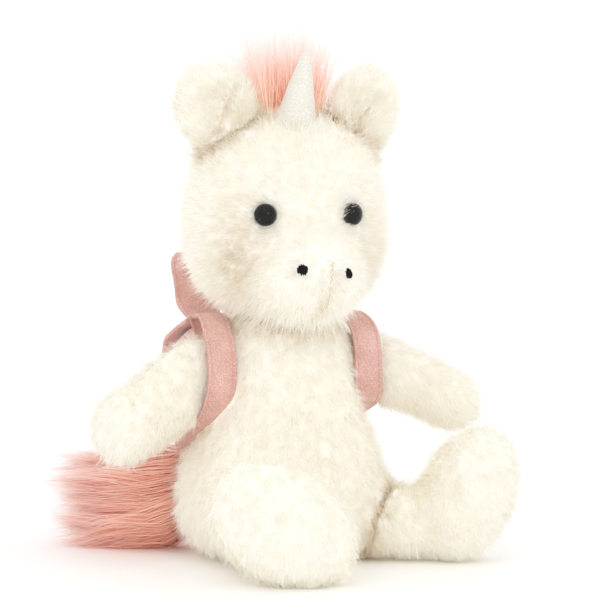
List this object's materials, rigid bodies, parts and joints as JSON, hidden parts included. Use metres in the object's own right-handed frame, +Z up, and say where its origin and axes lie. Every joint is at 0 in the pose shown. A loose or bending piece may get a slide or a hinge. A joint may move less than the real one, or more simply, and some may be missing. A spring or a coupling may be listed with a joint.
{
  "type": "plush unicorn with backpack",
  "caption": "Seated plush unicorn with round muzzle, upright glitter horn, long-haired mane and tail, wearing a small flap-top backpack on two shoulder straps.",
  "frame": {"origin": "middle of the flat seat under the torso, on the floor", "axes": "+Z up, the animal faces -Y and its left side is +X; the backpack is on the +Y side"},
  "size_m": [0.1663, 0.1559, 0.2103],
  "materials": {
    "plush_cream": "long cream pile, matt",
    "hair_pink": "long soft hair, coral at the root and pale pink at the tips",
    "horn_cloth": "silvery glitter cloth",
    "eye_black": "glossy black",
    "nose_thread": "black stitching thread",
    "pack_pink": "soft pink imitation leather with light stitches along its edges",
    "snap_metal": "pale metal fastener cap"
  },
  "bodies": {
    "root": {"torso": "plush_cream", "head": "plush_cream", "ear_left": "plush_cream", "ear_right": "plush_cream", "horn": "horn_cloth", "mane": "hair_pink", "eye_left": "eye_black", "eye_right": "eye_black", "nostril_left": "nose_thread", "nostril_right": "nose_thread", "arm_right": "plush_cream", "arm_left": "plush_cream", "leg_right": "plush_cream", "leg_left": "plush_cream", "tail": "hair_pink", "pack_body": "pack_pink", "pack_flap": "pack_pink", "flap_snap": "snap_metal", "strap_left": "pack_pink", "strap_right": "pack_pink"}
  },
  "joints": []
}
